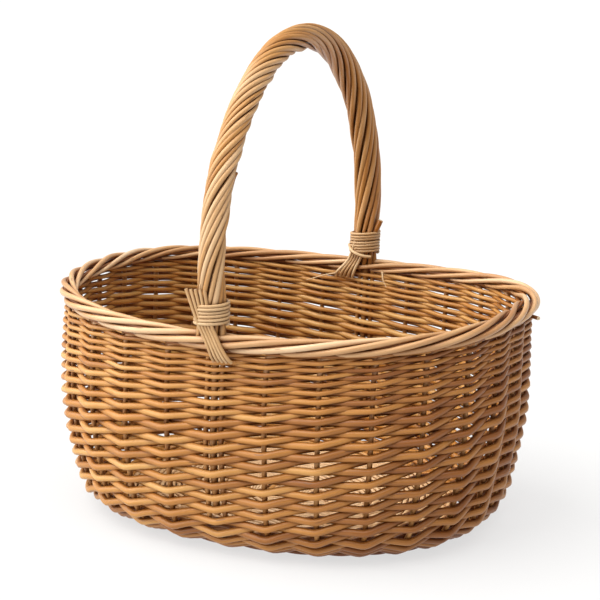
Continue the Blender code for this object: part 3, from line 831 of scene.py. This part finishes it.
def make_base_weave():
    """Pairing: two rods twine from spoke to spoke, out from the crossed sticks to the edge."""
    rods = Rods(RAND_SIDES)
    add_lapping(rods)
    travel = np.arange(BASE_ROWS * SPOKES * BASE_STEPS + 1) / BASE_STEPS
    out = BASE_OUT[0] + BASE_OUT[1] * travel / travel[-1]
    edge = base_edge(travel / SPOKES, 0.0)
    inner = slath_point(travel)
    for side in (0, 1):
        phase = np.pi * (travel - side)
        twined = out + BASE_TWINE * np.sin(phase)
        line = np.column_stack([inner + (edge[:, :2] - inner) * twined[:, None],
                                BASE_MIDDLE + BASE_DEPTH * np.cos(phase)])
        rods.add(line, BASE_ROD_RADIUS * (1 + wobble(len(line), size=0.05, every=40)), 0.5)
    rods.finish("base_pairing", PAINTED_LIGHT_BASE, "willow_weave", ("base_weave",))


# ---- Handle ---------------------------------------------------------------------------------


def handle_line(foot, count, fine=600):
    """Even points along the handle, from the front leg's foot over the arch to the back's."""
    turn = np.linspace(0.0, math.pi, fine)
    span = HANDLE_HALF_SPAN
    y = np.concatenate([[-span, -span], -(span + HANDLE_BULGE) * np.cos(turn), [span, span]])
    arch = HANDLE_SPRING + (HANDLE_TOP - HANDLE_SPRING) * np.sin(turn)
    z = np.concatenate([[foot, HANDLE_KNEE], arch, [HANDLE_KNEE, foot]])
    travelled = np.concatenate([[0.0], np.cumsum(np.hypot(np.diff(y), np.diff(z)))])
    even = np.linspace(0.0, travelled[-1], count)
    points = np.column_stack([even, np.interp(even, travelled, y), np.interp(even, travelled, z)])
    points[:, 0] = HANDLE_OFFSET
    return points


def make_bow():
    """The core rod: thin in the wall among the weave, thick where the roping winds round it."""
    q = np.linspace(BOW_WALL_FOOT, WALL_Q - BOW_WALL_END, BOW_WALL_STEPS)
    back, front = (on_wall(np.full(BOW_WALL_STEPS, u), q) for u in HANDLE_STAKES)
    line = np.vstack([front, handle_line(ROPE_FOOT + BOW_START, BOW_STEPS), back[::-1]])
    thin = np.full(BOW_WALL_STEPS, BOW_WALL_RADIUS)
    grown = BOW_RADIUS * read(BOW_SWELL, np.arange(BOW_STEPS))
    rods = Rods()
    rods.add(line, np.concatenate([thin, grown, thin]), 0.45)
    rods.finish("bow", HANDLE, "willow_handle", ("handle_bow",))


def make_liners():
    """Two thin rods beside the bow at each foot, which widen its place in the weave."""
    q = np.linspace(LINER_FOOT, WALL_Q + LINER_END, LINER_STEPS)
    apart = np.interp(q, (0.0, WALL_Q), LINER_APART) / STAKE_SPACING
    for leg, u in zip(("back", "front"), HANDLE_STAKES):
        rods = Rods()
        for side in (-1, 1):
            rods.add(on_wall(u + side * apart, q, wobble(LINER_STEPS, size=0.0002, every=12)), STAKE_RADIUS)
        rods.finish(f"handle_liners_{leg}", STAKE, "willow_handle", ("handle_bow",))


def make_roping():
    """Twelve rods wound side by side round the bow, steeper near the feet and down the back."""
    line = handle_line(ROPE_FOOT, ROPE_STEPS)
    side = np.array([1.0, 0.0, 0.0])
    outward = unit(np.cross(unit(np.gradient(line, axis=0)), side))
    part = np.linspace(0.0, 1.0, ROPE_STEPS)
    turned = np.cumsum(read(ROPE_TWIST, part))
    turned = turned / turned[-1]
    from_foot = np.minimum(part, 1.0 - part) * distances(line)[-1]
    wide, deep = read(ROPE_WIDTHS, from_foot), read(ROPE_DEPTHS, from_foot)
    swell = read(ROPE_SWELL, part)
    for i in range(ROPE_RODS):
        angle = 2.0 * np.pi * (i / ROPE_RODS + ROPE_TURNS * turned)
        angle = angle + wobble(ROPE_STEPS, size=0.07, every=14)
        bulge = swell * (1.0 + wobble(ROPE_STEPS, size=0.045, every=11))
        aside = side * (wide * bulge * np.cos(angle))[:, None]
        out = outward * (deep * bulge * np.sin(angle))[:, None]
        radius = ROPE_ROD_RADIUS * swell * RANDOM.uniform(0.84, 1.16)
        radius = radius * (1 + wobble(ROPE_STEPS, size=0.04, every=20))
        # A random tone for the rod, with painted shade darker down the back leg.
        tone = RANDOM.uniform(0.0, 1.0) + read(ROPE_PAINTED_SHADE, part)
        rods = Rods()
        rods.add(line + (aside + out), radius, tone)
        rods.finish(f"rope_rod_{i + 1:02d}", HANDLE, "willow_handle", (f"handle_rope_rod_{i + 1:02d}",))


def make_binding(leg, y):
    """One thin rod wound round the foot of the handle."""
    count = round(BINDING_TURNS[leg] * BINDING_STEPS) + 1
    turn = 2.0 * np.pi * np.arange(count) / BINDING_STEPS
    pitch = BINDING_CLEAR * BINDING_ROD_RADIUS / (2.0 * np.pi)
    swell = 1.0 + wobble(count, size=0.012, every=9)
    climb = BINDING_ROD_RADIUS + pitch * turn + BINDING_TILT * (1.0 + np.cos(turn))
    line = np.column_stack([HANDLE_OFFSET + BINDING_SIDE * swell * np.cos(turn),
                            y + BINDING_ACROSS * swell * np.sin(turn),
                            BINDING_BOTTOM + climb + wobble(count, size=0.00015, every=9)])
    rods = Rods()
    rods.add(line, BINDING_ROD_RADIUS * (1 + wobble(count, size=0.03, every=12)))
    rods.finish(f"binding_{leg}", BINDING, "willow_binding", (f"handle_binding_{leg}",))


def tie_line(facing, beside_leg, over_border, across, stray):
    """One tie rod's points, facing -1 at the front foot of the handle and 1 at the back one."""
    border = RIM_WIDTH / 2 - BORDER_RADIUS
    clear = BORDER_RADIUS + BORDER_SPREAD + TIE_ROD_RADIUS
    points = []
    for course, place, unit_out in ((beside_leg, HANDLE_HALF_SPAN, 1.0), (over_border, border, clear)):
        for along, fan, strays, out, height in course:
            x = along + across * (1.0 + fan) + stray * strays
            points.append((x, facing * (place + unit_out * out), height))
    return np.array(points) + (HANDLE_OFFSET, 0.0, BINDING_BOTTOM)


def make_ties():
    """The tie rods that cross the border, outside at the front foot and inside at the back one."""
    front, back = Rods(), Rods()
    for i in range(TIE_RODS):
        across = (i - (TIE_RODS - 1) / 2) * TIE_CLEAR * TIE_ROD_RADIUS
        ragged = RANDOM.uniform(-TIE_RAGGED, TIE_RAGGED)
        stray = RANDOM.uniform(-TIE_STRAY, TIE_STRAY)
        outside = tie_line(-1, TIE_FRONT_LEG, TIE_FRONT_BORDER, across, stray)
        outside[0, 2] += ragged
        inside = tie_line(1, TIE_BACK_LEG, TIE_BACK_BORDER, across, stray)
        front.add(smooth_line(outside, TIE_STEPS), TIE_ROD_RADIUS)
        back.add(smooth_line(inside, TIE_STEPS), TIE_ROD_RADIUS)
    face = HANDLE_HALF_SPAN - BINDING_ACROSS - 2 * BINDING_ROD_RADIUS
    skein = np.array(SKEIN_COURSE) + (HANDLE_OFFSET, face, BINDING_BOTTOM)
    back.add(smooth_line(skein, TIE_STEPS), BINDING_ROD_RADIUS * SKEIN_THICKNESS, SKEIN_TONE)
    front.finish("tie_front", BINDING, "willow_binding", ("handle_tie_front",))
    back.finish("tie_back", BINDING, "willow_binding", ("handle_tie_back",))


def make_leg_ends():
    """Cut ends of rods that stick out beside the handle's legs."""
    rods = Rods()
    for facing, course, radius, tone in LEG_ENDS:
        points = np.array(course) + (HANDLE_OFFSET, facing * HANDLE_HALF_SPAN, BINDING_BOTTOM)
        rods.add(smooth_line(points, TRIM_STEPS), radius, tone)
    rods.finish("handle_cut_ends", HANDLE, "willow_handle", ("handle_bow",))


def make_stray_tips():
    """Thin tips that stand out from the weave inside the back wall."""
    rods = Rods()
    inside = RIM_WIDTH / 2 - 2 * BORDER_RADIUS - MID_DEPTH
    for course, radius in STRAY_TIPS:
        line = smooth_line(np.array(course) + (HANDLE_OFFSET, inside, 0.0), TRIM_STEPS)
        rods.add(line, np.linspace(radius, radius * 0.5, len(line)), STRAY_TONE)
    rods.finish("stray_tips", BINDING, "willow_binding", ("handle_tie_back",))


def make_border_ends():
    """Cut ends of rods that stick out under the border."""
    rods = Rods()
    for u, drop in BORDER_ENDS:
        centre, normal = (rows[0] for rows in around(u))
        height = RIM_HEIGHT - BORDER_RADIUS + lift(u)[0] + drop
        along = np.array([normal[1], -normal[0], 0.0])
        direction = normal + along * BORDER_END_SLANT + (0.0, 0.0, BORDER_END_LIFT)
        points = [centre + (0.0, 0.0, height) + direction * reach for reach in BORDER_END_REACHES]
        rods.add(smooth_line(points, TRIM_STEPS), BORDER_END_RADIUS, BORDER_END_TONE)
    rods.finish("border_cut_ends", BORDER, "willow_border", ("border_rod_outer_lower",))


# ---- Floor, light and camera ----------------------------------------------------------------
CAMERA_DISTANCE = 1.58604
CAMERA_AZIMUTH = math.radians(21.785)
CAMERA_ELEVATION = math.radians(12.635)
CAMERA_ROLL = math.radians(1.79)
CAMERA_AIM_HEIGHT = 0.1793
LENS = 106.62
SHIFT = (0.0015, 0.0161)
WORLD_STRENGTH = 0.40
SUN_COLOUR = (1.0, 0.985, 0.96)
SUNS = (("key", 4.7, math.radians(85), (-0.70, -0.38, 0.62)),     # strength, softness, from where
        ("top", 2.4, math.radians(70), (0.10, -0.22, 0.97)))
FLOOR_HALF = 14.0
FLOOR_COLOUR = (0.20, 0.20, 0.20, 1.0)
FLOOR_GLOW = 0.66             # the floor shines a little of itself, which keeps it white


def make_floor():
    material = bpy.data.materials.new("floor")
    material.use_nodes = True
    shader = material.node_tree.nodes["Principled BSDF"]
    shader.inputs["Base Color"].default_value = FLOOR_COLOUR
    shader.inputs["Emission Color"].default_value = (1.0, 1.0, 1.0, 1.0)
    shader.inputs["Emission Strength"].default_value = FLOOR_GLOW
    shader.inputs["Roughness"].default_value = 0.9
    shader.inputs["Specular IOR Level"].default_value = 0.1
    mesh = bpy.data.meshes.new("floor")
    corners = [(x * FLOOR_HALF, y * FLOOR_HALF, 0.0) for x, y in ((-1, -1), (1, -1), (1, 1), (-1, 1))]
    mesh.from_pydata(corners, [], [(0, 1, 2, 3)])
    mesh.materials.append(material)
    floor = bpy.data.objects.new("floor", mesh)
    bpy.context.scene.collection.objects.link(floor)


def make_studio():
    world = bpy.data.worlds.new("studio")
    world.use_nodes = True
    world.node_tree.nodes["Background"].inputs["Color"].default_value = (1.0, 1.0, 1.0, 1.0)
    world.node_tree.nodes["Background"].inputs["Strength"].default_value = WORLD_STRENGTH
    bpy.context.scene.world = world
    for name, strength, softness, origin in SUNS:
        data = bpy.data.lights.new(name, "SUN")
        data.energy = strength
        data.angle = softness
        data.color = SUN_COLOUR
        light = bpy.data.objects.new(name, data)
        light.rotation_euler = Vector(origin).to_track_quat("Z", "Y").to_euler()
        bpy.context.scene.collection.objects.link(light)
    bpy.context.scene.view_settings.view_transform = "Standard"


def make_camera():
    back = Vector((math.sin(CAMERA_AZIMUTH) * math.cos(CAMERA_ELEVATION),
                   -math.cos(CAMERA_AZIMUTH) * math.cos(CAMERA_ELEVATION),
                   math.sin(CAMERA_ELEVATION)))
    right = Vector((0.0, 0.0, 1.0)).cross(back).normalized()
    up = back.cross(right)
    rolled = Matrix.Rotation(CAMERA_ROLL, 3, back)
    right, up = rolled @ right, rolled @ up
    data = bpy.data.cameras.new("camera")
    data.lens = LENS
    data.shift_x, data.shift_y = SHIFT
    camera = bpy.data.objects.new("camera", data)
    axes = Matrix((right, up, back)).transposed().to_4x4()
    place = back * CAMERA_DISTANCE + Vector((0.0, 0.0, CAMERA_AIM_HEIGHT))
    camera.matrix_world = Matrix.Translation(place) @ axes
    bpy.context.scene.collection.objects.link(camera)
    bpy.context.scene.camera = camera


make_camera()
make_studio()
make_floor()
make_base_sticks()
make_base_weave()
make_stakes()
make_wale()
make_randing()
make_border()
make_border_core()
make_bow()
make_liners()
make_roping()
make_binding("front", -HANDLE_HALF_SPAN)
make_binding("back", HANDLE_HALF_SPAN)
make_ties()
make_leg_ends()
make_stray_tips()
make_border_ends()
